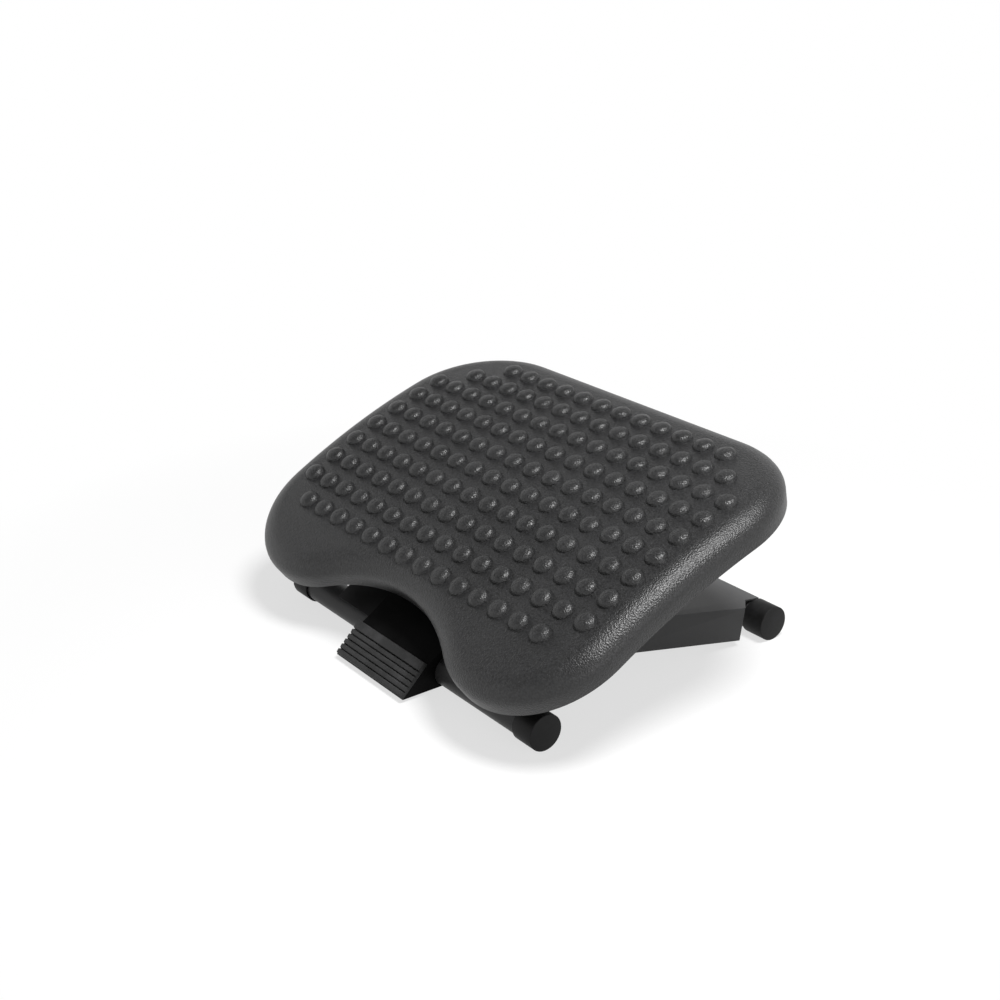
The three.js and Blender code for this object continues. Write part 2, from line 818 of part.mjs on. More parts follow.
// A closed body from rings: the first and the last are filled, the others joined in turn
function loft(rings) {
  const count = rings[0].length;
  const at = (ringIndex, i) => ringIndex * count + (i % count);
  const fill = bandedFill();
  const index = fill.flat();
  for (let i = 0; i < count; i += 1) {
    for (let r = 0; r < rings.length - 1; r += 1) {
      index.push(at(r, i), at(r + 1, i), at(r + 1, i + 1));
      index.push(at(r, i), at(r + 1, i + 1), at(r, i + 1));
    }
  }
  for (const [p, q, r] of fill) {
    index.push(at(rings.length - 1, p), at(rings.length - 1, r), at(rings.length - 1, q));
  }
  const geometry = new THREE.BufferGeometry().setFromPoints(rings.flat());
  geometry.setIndex(index);
  return geometry;
}

function platformShell() {
  const outer = skinRings(0);
  const inner = skinRings(shellWall).reverse();
  return solid(loft([...outer, ...inner]));
}

function platformCore() {
  return solid(loft(skinRings(shellWall / 2)));
}

function bentRib(fromX, toX, fromY, toY, pieces) {
  const top = -shellWall / 2;
  const bottom = -shellWall - ribDepth;
  const rib = new THREE.BoxGeometry(toX - fromX, toY - fromY, top - bottom, 1, pieces, 1);
  rib.translate((fromX + toX) / 2, (fromY + toY) / 2, (top + bottom) / 2);
  const position = rib.attributes.position;
  for (let i = 0; i < position.count; i += 1) {
    const place = bend(position.getX(i), position.getY(i), position.getZ(i));
    position.setXYZ(i, place.x, place.y, place.z);
  }
  return solid(rib);
}

function platformRibs() {
  const ribs = [];
  for (const step of [-2, -1, 0, 1, 2]) {
    const x = step * ribPitch;
    ribs.push(bentRib(x - ribWall / 2, x + ribWall / 2, -heelCornerReach, platformRearEdge, 14));
  }
  for (const step of [-1, 0, 1]) {
    const y = step * ribPitch;
    ribs.push(bentRib(-platformHalfWidth, platformHalfWidth, y - ribWall / 2, y + ribWall / 2, 1));
  }
  return ribs.reduce((sum, next) => sum.add(next)).intersect(platformCore());
}

function screwPlaces() {
  const places = [];
  for (const y of [-screwSpacingY / 2, screwSpacingY / 2]) {
    for (const x of [-screwSpacingX / 2, screwSpacingX / 2]) places.push([x, y]);
  }
  return places;
}

function upright(shape) {
  return shape.rotateY(-Math.PI / 2);
}

function bosses() {
  const bottom = -shellWall - ribDepth - rimDepth / 2;
  return screwPlaces()
    .map(([x, y]) => solid(upright(rod(bossRadius, bottom, -shellWall / 2, 0, 0, 12)).translate(x, y, 0)))
    .reduce((sum, next) => sum.add(next));
}

function screwHoles() {
  const seat = bracketTop + seatGap;
  return screwPlaces()
    .map(([x, y]) => {
      const hole = rod(screwRadius + seatGap, seat - rimDepth, seat + screwLength + seatGap, 0, 0, 10);
      return solid(upright(hole).translate(x, y, 0));
    })
    .reduce((sum, next) => sum.add(next));
}

function dome(x, y) {
  const foot = bumpHeight * 0.4;
  const profile = [
    [0, -foot],
    [bumpRadius * 1.17, -foot],
    [bumpRadius * 0.68, bumpHeight * 0.76],
    [0, bumpHeight],
  ];
  const place = bend(x, y, 0);
  return upright(turned(profile, 8)).rotateX(-y / archRadius).translate(place.x, place.y, place.z);
}

function bumps() {
  const domes = [];
  const bumpColumns = 2 * Math.floor((platformHalfWidth - bumpMargin) / bumpPitch);
  const rows = bumpRowInsets.length;
  bumpRowInsets.forEach((left, row) => {
    for (let column = left; column < bumpColumns - left; column += 1) {
      const x = (column - (bumpColumns - 1) / 2) * bumpPitch;
      const y = (row - (rows - 1) / 2) * bumpPitch;
      domes.push(solid(dome(x, y)));
    }
  });
  return wasm.Manifold.union(domes);
}

function platform() {
  const seat = bracketTop + seatGap;
  const halfX = bracketHalfWidth + seatGap * 4;
  const halfY = bracketLength / 2 + seatGap * 4;
  const pocket = box(-halfX, halfX, -halfY, halfY, seat - rimDepth, seat);
  return platformShell()
    .add(platformRibs())
    .add(bosses())
    .subtract(solid(pocket))
    .subtract(screwHoles())
    .add(bumps())
    .translate([0, 0, pivotDepth]);
}

// Steel bracket under the platform, with an ear at each end of the tilt bolt
function tiltBracket() {
  const wide = bracketHalfWidth;
  const low = -pivotDepth - earEndRadius;
  const channel = [
    [-wide, low],
    [-wide + bracketSheet, low],
    [-wide + bracketSheet, bracketTop - bracketSheet],
    [wide - bracketSheet, bracketTop - bracketSheet],
    [wide - bracketSheet, low],
    [wide, low],
    [wide, bracketTop],
    [-wide, bracketTop],
  ];
  const half = bracketLength / 2;
  const across = upwards(channel, -half, half).rotateX(Math.PI / 2);
  const ear = new THREE.Shape();
  ear.moveTo(half, bracketTop + cutOverrun);
  ear.lineTo(-half, bracketTop + cutOverrun);
  ear.lineTo(-half, bracketTop - bracketSheet * 2);
  ear.absarc(0, -pivotDepth, earEndRadius, radians(200), radians(340), false);
  ear.lineTo(half, bracketTop - bracketSheet * 2);
  ear.closePath();
  const beyond = wide + cutOverrun;
  return solid(across)
    .intersect(solid(alongX(ear, -beyond, beyond)))
    .subtract(solid(rod(tiltBushOuter + seatGap, -beyond, beyond, 0, -pivotDepth)))
    .subtract(screwHoles())
    .translate([0, 0, pivotDepth]);
}

const tiltBushOuter = boltRadius + runningGap + tiltBushWall;

function tiltBush(side) {
  const bore = boltRadius + runningGap;
  const innerEnd = bracketHalfWidth - bracketSheet;
  const flangeStart = bracketHalfWidth + seatGap;
  const profile = [
    [bore, innerEnd],
    [tiltBushOuter, innerEnd],
    [tiltBushOuter, flangeStart],
    [tiltFlangeRadius, flangeStart],
    [tiltFlangeRadius, flangeStart + tiltFlange],
    [bore, flangeStart + tiltFlange],
    [bore, innerEnd],
  ];
  return solid(turned(profile.map(([radius, x]) => [radius, side * x]), 16));
}

function tiltBolt() {
  const head = -(armTopHalfWidth + seatGap);
  const tip = armTopHalfWidth + 2 * seatGap + boltHeadHeight + boltRadius / 2;
  const hex = solid(rod(boltHeadRadius, head - boltHeadHeight, head, 0, 0, 6));
  return hex.add(solid(rod(boltRadius, head - boltHeadHeight / 2, tip, 0, 0, 16)));
}

function tiltNut() {
  const near = armTopHalfWidth + seatGap;
  const nut = solid(rod(boltHeadRadius, near, near + boltHeadHeight, 0, 0, 6));
  return nut.subtract(solid(rod(boltRadius + seatGap, 0, legHalfWidth)));
}

function bracketScrew(x, y) {
  const under = bracketTop - bracketSheet - seatGap;
  const tip = bracketTop + seatGap + screwLength;
  const profile = [
    [0, under - screwHeadHeight],
    [screwHeadRadius * 0.7, under - screwHeadHeight],
    [screwHeadRadius, under - screwHeadHeight / 2],
    [screwHeadRadius, under],
    [screwRadius, under],
    [screwRadius, tip - screwRadius],
    [0, tip],
  ];
  return solid(upright(turned(profile, 10)).translate(x, y, pivotDepth));
}

const hands = [['left', -1], ['right', 1]];

addPart(frontFrame, 'front_arm', frontArm(), paint);
addPart(frontFrame, 'front_foot_tube', footTube(frontBarHalfLength), paint);
addPart(rearFrame, 'rear_leg', rearLeg(), paint);
addPart(rearFrame, 'rear_foot_tube', footTube(rearBarHalfLength), paint);
for (const [hand, side] of hands) {
  const frontCap = addPart(object, `front_cap_${hand}`, footCap(frontBarHalfLength, side), rubber);
  frontCap.position.set(0, frontFootY, axisHeight);
  const rearCap = addPart(object, `rear_cap_${hand}`, footCap(rearBarHalfLength, side), rubber);
  rearCap.position.set(0, rearFootY, axisHeight);
  addPart(rearFrame, `notch_plate_${hand}`, notchPlate(side), zinc);
  rivetPlaces().forEach((y, i) => {
    addPart(rearFrame, `plate_rivet_${hand}_${i + 1}`, rivet(side, y), zinc);
  });
  const bush = sidedRing(axleRadius + runningGap, bushOuter, plateInner, forkHalfWidth, side);
  addPart(rearFrame, `height_bush_${hand}`, solid(bush.translate(0, -rearLink, 0)), nylon);
  const near = armHalfWidth + runningGap;
  const washer = sidedRing(axleRadius + runningGap, axleWasherRadius, near, near + axleWasher, side);
  addPart(frontFrame, `height_washer_${hand}`, solid(washer.translate(0, frontLink, 0)), nylon);
  addPart(frontFrame, `height_nut_${hand}`, heightNut(side), zinc);
  addPart(frontFrame, `lock_spring_${hand}`, lockSpring(side * (armHalfWidth - springInset)), springSteel);
  addPart(platformFrame, `tilt_bush_${hand}`, tiltBush(side), nylon);
}
addPart(frontFrame, 'height_axle', heightAxle(), zinc);
addPart(frontFrame, 'lock_bar', lockBar(), zinc);
addPart(frontFrame, 'pedal', pedalBody(), black);
addPart(frontFrame, 'pedal_tread', pedalTread(), rubber);
addPart(frontFrame, 'pedal_spring', pedalSpring(), springSteel);
addPart(platformFrame, 'platform', platform(), black);
addPart(platformFrame, 'tilt_bracket', tiltBracket(), zinc);
addPart(platformFrame, 'tilt_bolt', tiltBolt(), zinc);
addPart(platformFrame, 'tilt_nut', tiltNut(), zinc);
screwPlaces().forEach(([x, y], i) => {
  addPart(platformFrame, `bracket_screw_${i + 1}`, bracketScrew(x, y), zinc);
});

export default object;
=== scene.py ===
import json
import math

import bpy
from mathutils import Matrix, Vector


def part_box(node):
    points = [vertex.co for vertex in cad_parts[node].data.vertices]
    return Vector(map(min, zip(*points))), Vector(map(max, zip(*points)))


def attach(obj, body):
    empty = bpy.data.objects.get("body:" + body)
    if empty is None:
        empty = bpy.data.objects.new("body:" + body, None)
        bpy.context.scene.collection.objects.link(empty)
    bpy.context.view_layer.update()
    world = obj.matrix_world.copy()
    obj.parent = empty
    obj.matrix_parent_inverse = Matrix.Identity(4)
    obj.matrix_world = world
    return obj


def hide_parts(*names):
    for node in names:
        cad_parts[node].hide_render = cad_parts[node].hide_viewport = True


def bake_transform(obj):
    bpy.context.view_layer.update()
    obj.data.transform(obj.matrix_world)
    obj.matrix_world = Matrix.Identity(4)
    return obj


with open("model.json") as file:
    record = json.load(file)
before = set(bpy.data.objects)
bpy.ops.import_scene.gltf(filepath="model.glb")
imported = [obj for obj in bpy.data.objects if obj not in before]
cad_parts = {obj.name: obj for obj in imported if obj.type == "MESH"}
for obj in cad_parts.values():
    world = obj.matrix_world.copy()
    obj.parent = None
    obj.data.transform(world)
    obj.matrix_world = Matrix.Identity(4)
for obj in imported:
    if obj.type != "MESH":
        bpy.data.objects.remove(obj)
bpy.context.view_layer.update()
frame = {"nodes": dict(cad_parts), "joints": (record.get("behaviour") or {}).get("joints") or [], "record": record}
nodes = frame["nodes"]
bodyOf = {node: body for body, names in frame["record"]["behaviour"]["bodies"].items() for node in names}
slotOf = {entry["node"]: entry["material_slot"] for entry in frame["record"]["subparts"]}
print("stage: frame loaded,", len(nodes), "nodes")


# Shader maths: a socket that takes part in Python expressions

class Socket:
    def __init__(self, maker, output):
        self.maker = maker
        self.output = output

    def combine(self, operation, a, b):
        return self.maker.node("ShaderNodeMath", {"operation": operation}, {0: a, 1: b})

    def __add__(self, other):
        return self.combine("ADD", self, other)

    def __radd__(self, other):
        return self.combine("ADD", other, self)

    def __mul__(self, other):
        return self.combine("MULTIPLY", self, other)

    def ramp(self, low, high):
        return self.maker.node("ShaderNodeMapRange", {"clamp": True}, {0: self, 1: low, 2: high}, "Result")


class Material:
    def __init__(self, name):
        self.material = bpy.data.materials.new(name)
        self.material.use_nodes = True
        self.tree = self.material.node_tree
        self.shader = self.tree.nodes["Principled BSDF"]

    def link(self, value, target):
        if isinstance(value, Socket):
            self.tree.links.new(value.output, target)
        else:
            target.default_value = value

    def node(self, kind, settings=None, values=None, output=0):
        made = self.tree.nodes.new(kind)
        for key, value in (settings or {}).items():
            setattr(made, key, value)
        for key, value in (values or {}).items():
            self.link(value, made.inputs[key])
        return Socket(self, made.outputs[output])

    def place(self):
        return self.node("ShaderNodeTexCoord", output="Object")

    def stretched(self, scale):
        return self.node("ShaderNodeMapping", values={"Vector": self.place(), "Scale": scale})

    def noise(self, scale, detail, roughness=0.5, vector=None):
        vector = vector or self.place()
        values = {"Vector": vector, "Scale": scale, "Detail": detail, "Roughness": roughness}
        return self.node("ShaderNodeTexNoise", values=values)

    def cells(self, scale):
        return self.node("ShaderNodeTexVoronoi", values={"Vector": self.place(), "Scale": scale})

    # The mix node's colours are its inputs 6 and 7 and its output 2
    def mixed(self, factor, low, high):
        colours = {0: factor, 6: (*low, 1), 7: (*high, 1)}
        return self.node("ShaderNodeMix", {"data_type": "RGBA"}, colours, 2)

    def bump(self, height, distance, strength):
        values = {"Height": height, "Distance": distance, "Strength": strength}
        return self.node("ShaderNodeBump", values=values)

    def finish(self, **sockets):
        for name, value in sockets.items():
            self.link(value, self.shader.inputs[name.replace("_", " ")])
        return self.material


# The finishes: a noise is given as its scale, detail and roughness, a bump as its distance and strength,
# and noiseReach is where most of a noise's values lie

noiseReach = (0.3, 0.7)

mouldedLook = {
    "dark": (0.003, 0.003, 0.003),
    "light": (0.032, 0.032, 0.033),
    "grain": 760.0,
    "grainHeight": 0.7,
    "fine": (608.0, 3.0),
    "fineHeight": 0.5,
    "fineTone": 0.8,
    "cloud": (14.0, 3.0),
    "cloudTone": 0.2,
    "toneReach": (0.3, 0.72),
    "roughness": (0.37, 0.43),
    "bump": (0.0005, 0.8),
    "shine": 0.5,
}


def mouldedPlastic():
    look = mouldedLook
    made = Material("mouldedPlastic")
    grains = made.cells(look["grain"])
    fine = made.noise(*look["fine"])
    cloud = made.noise(*look["cloud"])
    height = grains * look["grainHeight"] + fine * look["fineHeight"]
    tone = fine * look["fineTone"] + cloud * look["cloudTone"]
    low, high = look["roughness"]
    return made.finish(
        Base_Color=made.mixed(tone.ramp(*look["toneReach"]), look["dark"], look["light"]),
        Roughness=low + cloud.ramp(*noiseReach) * (high - low),
        Normal=made.bump(height, *look["bump"]),
        Specular_IOR_Level=look["shine"],
    )


pedalLook = {
    "dark": (0.003, 0.003, 0.003),
    "light": (0.008, 0.008, 0.008),
    "grain": (900.0, 3.0),
    "cloud": (30.0, 3.0),
    "roughness": 0.42,
    "grainRoughness": 0.2,
    "bump": (0.00012, 0.6),
    "shine": 0.05,
}


def pedalPlastic():
    look = pedalLook
    made = Material("pedalPlastic")
    grains = made.noise(*look["grain"])
    cloud = made.noise(*look["cloud"])
    return made.finish(
        Base_Color=made.mixed(cloud.ramp(*noiseReach), look["dark"], look["light"]),
        Roughness=look["roughness"] + grains * look["grainRoughness"],
        Normal=made.bump(grains, *look["bump"]),
        Specular_IOR_Level=look["shine"],
    )


rubberLook = {
    "dark": (0.007, 0.007, 0.007),
    "light": (0.018, 0.018, 0.019),
    "grain": (1300.0, 4.0, 0.65),
    "dust": (60.0, 5.0, 0.7),
    "dustReach": (0.42, 0.75),
    "roughness": 0.42,
    "dustRoughness": 0.25,
    "bump": (0.0001, 0.5),
    "shine": 0.2,
}
# The tread's rubber is the black rubber made several times lighter: this lightness is painted light, standing for
# the light falling on the tread's face
paintedLightTreadLook = {**rubberLook, "dark": (0.034, 0.034, 0.034), "light": (0.066, 0.066, 0.067)}


def blackRubber(name, look):
    made = Material(name)
    grains = made.noise(*look["grain"])
    dust = made.noise(*look["dust"])
    return made.finish(
        Base_Color=made.mixed(dust.ramp(*look["dustReach"]), look["dark"], look["light"]),
        Roughness=look["roughness"] + dust * look["dustRoughness"],
        Normal=made.bump(grains, *look["bump"]),
        Specular_IOR_Level=look["shine"],
    )


paintLook = {
    "dark": (0.052, 0.052, 0.053),
    "light": (0.088, 0.088, 0.089),
    "peel": (700.0, 2.0),
    "peelHeight": 0.6,
    "soft": (100.0, 2.0),
    "softHeight": 0.8,
    "cloud": (9.0, 3.0),
    "roughness": 0.34,
    "cloudRoughness": 0.12,
    "peelRoughness": 0.08,
    "bump": (0.00012, 0.5),
    "shine": 0.2,
}
# The front arm's paint is the satin paint made much darker: this darkness is painted shade, standing for the
# shadow under the platform
paintedShadeArmLook = {**paintLook, "dark": (0.012, 0.012, 0.012), "light": (0.020, 0.020, 0.021)}


def satinPaint(name, look):
    made = Material(name)
    peel = made.noise(*look["peel"])
    soft = made.noise(*look["soft"])
    cloud = made.noise(*look["cloud"])
    height = peel * look["peelHeight"] + soft * look["softHeight"]
    return made.finish(
        Base_Color=made.mixed(cloud.ramp(*noiseReach), look["dark"], look["light"]),
        Roughness=look["roughness"] + cloud * look["cloudRoughness"] + peel * look["peelRoughness"],
        Normal=made.bump(height, *look["bump"]),
        Specular_IOR_Level=look["shine"],
    )


zincLook = {
    "dark": (0.42, 0.43, 0.44),
    "light": (0.60, 0.61, 0.62),
    "cloud": (120.0, 4.0, 0.6),
    "spangle": 420.0,
    "roughness": 0.28,
    "cloudRoughness": 0.2,
    "bump": (0.00005, 0.3),
}


def platedZinc():
    look = zincLook
    made = Material("platedZinc")
    cloud = made.noise(*look["cloud"])
    spangle = made.cells(look["spangle"])
    return made.finish(
        Base_Color=made.mixed(cloud.ramp(*noiseReach), look["dark"], look["light"]),
        Metallic=1.0,
        Roughness=look["roughness"] + cloud * look["cloudRoughness"],
        Normal=made.bump(spangle, *look["bump"]),
    )


wireLook = {
    "dark": (0.26, 0.27, 0.28),
    "light": (0.44, 0.45, 0.46),
    "drawn": (500.0, 3.0),
    "stretch": (1.0, 0.2, 0.2),
    "roughness": 0.24,
    "drawnRoughness": 0.2,
}


def springWire():
    look = wireLook
    made = Material("springWire")
    drawn = made.noise(*look["drawn"], vector=made.stretched(look["stretch"]))
    return made.finish(
        Base_Color=made.mixed(drawn.ramp(*noiseReach), look["dark"], look["light"]),
        Metallic=1.0,
        Roughness=look["roughness"] + drawn * look["drawnRoughness"],
    )


nylonLook = {
    "dark": (0.50, 0.49, 0.44),
    "light": (0.60, 0.59, 0.54),
    "grain": (700.0, 2.0),
    "cloud": (60.0, 2.0),
    "roughness": 0.4,
    "grainRoughness": 0.15,
    "bump": (0.00005, 0.4),
}


def naturalNylon():
    look = nylonLook
    made = Material("naturalNylon")
    grain = made.noise(*look["grain"])
    cloud = made.noise(*look["cloud"])
    return made.finish(
        Base_Color=made.mixed(cloud.ramp(*noiseReach), look["dark"], look["light"]),
        Roughness=look["roughness"] + grain * look["grainRoughness"],
        Normal=made.bump(grain, *look["bump"]),
    )


materials = {
    "platform_plastic": mouldedPlastic(),
    "pedal_plastic": pedalPlastic(),
    "rubber": blackRubber("blackRubber", rubberLook),
    "black_paint": satinPaint("satinPaint", paintLook),
    "zinc": platedZinc(),
    "nylon": naturalNylon(),
    "spring_steel": springWire(),
}
nodeMaterials = {
    # The pedal tread's lighter rubber is painted light
    "pedal_tread": blackRubber("paintedLightTreadRubber", paintedLightTreadLook),
    # The front arm's darker paint is painted shade
    "front_arm": satinPaint("paintedShadeArmPaint", paintedShadeArmLook),
}
print("stage: materials made")


# Modelling helpers

weldDistance = 2e-6
sameDistance = 1e-6
flatAngle = 0.6


def clearSelection():
    if bpy.context.object and bpy.context.object.mode != "OBJECT":
        bpy.ops.object.mode_set(mode="OBJECT")
    bpy.ops.object.select_all(action="DESELECT")


def activate(piece):
    clearSelection()
    piece.select_set(True)
    bpy.context.view_layer.objects.active = piece


def applied(piece, kind, **settings):
    activate(piece)
    modifier = piece.modifiers.new(kind.title(), kind)
    for key, value in settings.items():
        setattr(modifier, key, value)
    bpy.ops.object.modifier_apply(modifier=modifier.name)


def softened(piece, width, segments=2, angle=30):
    applied(
        piece, "BEVEL", width=width, segments=segments, limit_method="ANGLE", angle_limit=math.radians(angle)
    )


def smoothed(piece, angle=35):
    activate(piece)
    bpy.ops.object.shade_smooth_by_angle(angle=math.radians(angle))


def dressed(piece, name, like, smoothAngle=35, standsFor=(), riding=True):
    piece.name = name
    piece.data.name = name
    smoothed(piece, smoothAngle)
    piece.data.materials.clear()
    piece.data.materials.append(nodeMaterials.get(like, materials[slotOf[like]]))
    clearSelection()
    if riding:
        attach(piece, bodyOf[like])
    if standsFor:
        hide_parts(*standsFor)
    return piece


def facesDown(face):
    return face.normal.z < -0.9


def selectFaces(piece, wanted):
    bpy.ops.object.mode_set(mode="EDIT")
    bpy.ops.mesh.select_mode(type="FACE")
    bpy.ops.mesh.select_all(action="DESELECT")
    bpy.ops.object.mode_set(mode="OBJECT")
    for face in piece.data.polygons:
        face.select = wanted(face)
    bpy.ops.object.mode_set(mode="EDIT")


def prism(profile, fromX, toX):
    clearSelection()
    bpy.ops.mesh.primitive_circle_add(vertices=len(profile), radius=1, fill_type="NGON")
    piece = bpy.context.object
    for vertex, (y, z) in zip(piece.data.vertices, profile):
        vertex.co = (fromX, y, z)
    bpy.ops.object.mode_set(mode="EDIT")
    bpy.ops.mesh.select_all(action="SELECT")
    bpy.ops.mesh.extrude_region_move(TRANSFORM_OT_translate={"value": (toX - fromX, 0, 0)})
    bpy.ops.mesh.select_all(action="SELECT")
    bpy.ops.mesh.normals_make_consistent(inside=False)
    bpy.ops.object.mode_set(mode="OBJECT")
    return piece


def moved(piece, matrix):
    piece.data.transform(matrix)
    piece.data.update()
    return piece


def joinedPieces(first, others):
    activate(first)
    for other in others:
        other.select_set(True)
    bpy.ops.object.join()
    return bpy.context.object


# A CAD node with its edges softened

def finishedCopy(node, width, segments=2, angle=30, smoothAngle=35, rounding=0, riding=True):
    source = nodes[node]
    piece = source.copy()
    piece.data = source.data.copy()
    piece.parent = None
    for key in [key for key in piece.keys() if key.startswith("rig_")]:
        del piece[key]
    bpy.context.scene.collection.objects.link(piece)
    activate(piece)
    bpy.ops.object.mode_set(mode="EDIT")
    bpy.ops.mesh.select_all(action="SELECT")
    bpy.ops.mesh.remove_doubles(threshold=weldDistance)
    if not rounding:
        bpy.ops.mesh.dissolve_limited(angle_limit=math.radians(flatAngle))
    bpy.ops.object.mode_set(mode="OBJECT")
    if rounding:
        applied(piece, "SUBSURF", levels=rounding, render_levels=rounding)
    else:
        softened(piece, width, segments, angle)
    return dressed(piece, node + "_finished", node, smoothAngle, (node,), riding)


# The platform: a bent moulding with a rolled rim, studs, ribs and bosses

platformLook = {
    "halfWidth": 0.225,
    "toeEdge": 0.1495,
    "toeCorner": 0.094,
    "heelHalfWidth": 0.222,
    "heelReach": 0.253,
    "lobe": 0.085,
    "notchReach": 0.1065,
    "notch": 0.163,
    "archRadius": 0.697,
    "rimRadius": 0.015,
    "rimReach": 0.022,
    "rimDepth": 0.0255,
    "wall": 0.0035,
    "pivotDepth": 0.0515,
    "tilt": 22.1,
    "outlineStep": 0.0012,
    "outlinePoints": 240,
    "rimSteps": 9,
    "bandWidth": 0.008,
    "ribDepth": 0.012,
    "ribWall": 0.0024,
    "ribPitch": 0.0762,
    "ribSink": 0.6,
    "edge": (0.0008, 2, 50),
    "bossPlaces": (0.042, 0.020),
    "bossSides": 32,
    "bossRadius": 0.0055,
    "bossWall": 0.0031,
    "bossHole": 0.9,
    "seatReach": (0.062, 0.034),
}

studLook = {
    "pitch": 0.0254,
    "columns": 16,
    "rowInsets": (1, 0, 0, 0, 0, 0, 0, 0, 1, 2),
    "radius": 0.0091,
    "height": 0.0049,
    "sides": 20,
    "radiusShares": (1.06, 1.03, 1.0, 0.95, 0.83, 0.62, 0.33),
    "heightShares": (-0.12, 0.0, 0.16, 0.40, 0.69, 0.88, 0.98),
}


def filletedOutline(corners, count):
    stretches = []
    for i, (x, y, radius) in enumerate(corners):
        corner = Vector((x, y))
        back = (Vector(corners[i - 1][:2]) - corner).normalized()
        onward = (Vector(corners[(i + 1) % len(corners)][:2]) - corner).normalized()
        half = back.angle(onward) / 2
        run = radius / math.tan(half)
        centre = corner + (back + onward).normalized() * radius / math.sin(half)
        start = corner + back * run
        turn = math.pi - 2 * half
        if back.cross(onward) > 0:
            turn = -turn
        stretches.append((centre, start - centre, turn, radius))
    points = []
    for i, (centre, spoke, turn, radius) in enumerate(stretches):
        steps = max(3, round(abs(turn) * radius / platformLook["outlineStep"]))
        for k in range(steps + 1):
            points.append(centre + Matrix.Rotation(turn * k / steps, 2) @ spoke)
    lengths = [0.0]
    for a, b in zip(points, points[1:] + points[:1]):
        lengths.append(lengths[-1] + (b - a).length)
    total = lengths[-1]
    spaced = []
    at = 0
    for i in range(count):
        wanted = total * i / count
        while lengths[at + 1] < wanted:
            at += 1
        share = (wanted - lengths[at]) / (lengths[at + 1] - lengths[at])
        spaced.append(points[at].lerp(points[(at + 1) % len(points)], share))
    return spaced


def platformOutline():
    look = platformLook
    corners = [
        (look["halfWidth"], look["toeEdge"], look["toeCorner"]),
        (-look["halfWidth"], look["toeEdge"], look["toeCorner"]),
        (-look["heelHalfWidth"], -look["heelReach"], look["lobe"]),
        (0, -look["notchReach"], look["notch"]),
        (look["heelHalfWidth"], -look["heelReach"], look["lobe"]),
    ]
    return filletedOutline(corners, look["outlinePoints"])


def bent(point):
    radius = platformLook["archRadius"]
    angle = point.y / radius
    reach = radius + point.z
    return Vector((point.x, reach * math.sin(angle), reach * math.cos(angle) - radius))


def bentPiece(piece):
    for vertex in piece.data.vertices:
        vertex.co = bent(vertex.co)


def bands(piece):
    look = platformLook
    bpy.ops.object.mode_set(mode="EDIT")
    cuts = round(2 * look["heelReach"] / look["bandWidth"])
    for i in range(cuts + 1):
        y = -look["heelReach"] + i * look["bandWidth"]
        bpy.ops.mesh.select_all(action="SELECT")
        bpy.ops.mesh.bisect(plane_co=(0, y, 0), plane_no=(0, 1, 0))
    bpy.ops.object.mode_set(mode="OBJECT")


def drawnIn(outline, distance):
    inner = []
    for i, point in enumerate(outline):
        along = (outline[(i + 1) % len(outline)] - outline[i - 1]).normalized()
        inner.append(Vector((point.x - along.y * distance, point.y + along.x * distance)))
    return inner


def ringBody(rings, filled):
    clearSelection()
    count = len(rings[0])
    bpy.ops.mesh.primitive_grid_add(x_subdivisions=count, y_subdivisions=len(rings) - 1)
    body = bpy.context.object
    for row, ring in enumerate(rings):
        for column in range(count + 1):
            body.data.vertices[row * (count + 1) + column].co = ring[column % count]
    bpy.ops.object.mode_set(mode="EDIT")
    bpy.ops.mesh.select_all(action="SELECT")
    bpy.ops.mesh.remove_doubles(threshold=sameDistance)
    bpy.ops.mesh.select_mode(type="EDGE")
    for height in filled:
        bpy.ops.mesh.select_all(action="DESELECT")
        bpy.ops.object.mode_set(mode="OBJECT")
        for edge in body.data.edges:
            ends = [body.data.vertices[v].co for v in edge.vertices]
            edge.select = all(abs(end.z - height) < sameDistance for end in ends)
        bpy.ops.object.mode_set(mode="EDIT")
        bpy.ops.mesh.edge_face_add()
    bpy.ops.mesh.select_all(action="SELECT")
    bpy.ops.mesh.normals_make_consistent(inside=False)
    bpy.ops.object.mode_set(mode="OBJECT")
    return body


def rimRings(inset):
    look = platformLook
    outline = platformOutline()
    radius = look["rimRadius"] - inset
    reach = look["rimReach"] - inset
    rings = []
    for i in range(look["rimSteps"] + 1):
        angle = math.pi / 2 * i / look["rimSteps"]
        height = radius * math.cos(angle) - look["rimRadius"]
        edge = drawnIn(outline, look["rimReach"] - reach * math.sin(angle))
        rings.append([point.to_3d() + Vector((0, 0, height)) for point in edge])
    lower = Vector((0, 0, -look["rimDepth"]))
    rings.append([point.to_3d() + lower for point in drawnIn(outline, inset)])
    return rings


def platformShell():
    look = platformLook
    shell = ringBody(rimRings(0), (0,))
    bands(shell)
    applied(shell, "SOLIDIFY", thickness=look["wall"], offset=-1.0)
    bentPiece(shell)
    softened(shell, *look["edge"])
    return shell


